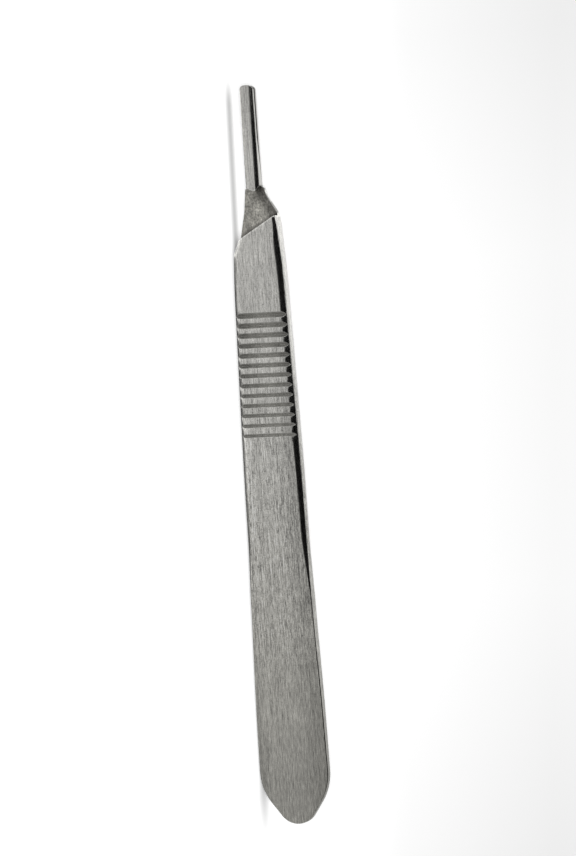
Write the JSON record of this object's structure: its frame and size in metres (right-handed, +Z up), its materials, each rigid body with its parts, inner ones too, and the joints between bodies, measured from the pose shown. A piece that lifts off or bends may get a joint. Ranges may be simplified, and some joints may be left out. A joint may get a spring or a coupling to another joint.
{
  "type": "scalpel handle",
  "caption": "Flat one-piece steel scalpel handle with a slotted blade tongue, a slanted blade stop, a cross-grooved grip and a thin pointed tail.",
  "frame": {"origin": "centre of the handle's outline, on the surface that its broad underside lies on", "axes": "+Y toward the blade tongue, +Z up, out of the broad face that carries the blade seat, +X to the right seen from above with the tongue pointing away"},
  "size_m": [0.0122, 0.125, 0.0035],
  "materials": {
    "brushed_steel": "satin steel, finely brushed along the handle"
  },
  "bodies": {
    "root": {"scalpel_handle": "brushed_steel"}
  },
  "joints": []
}
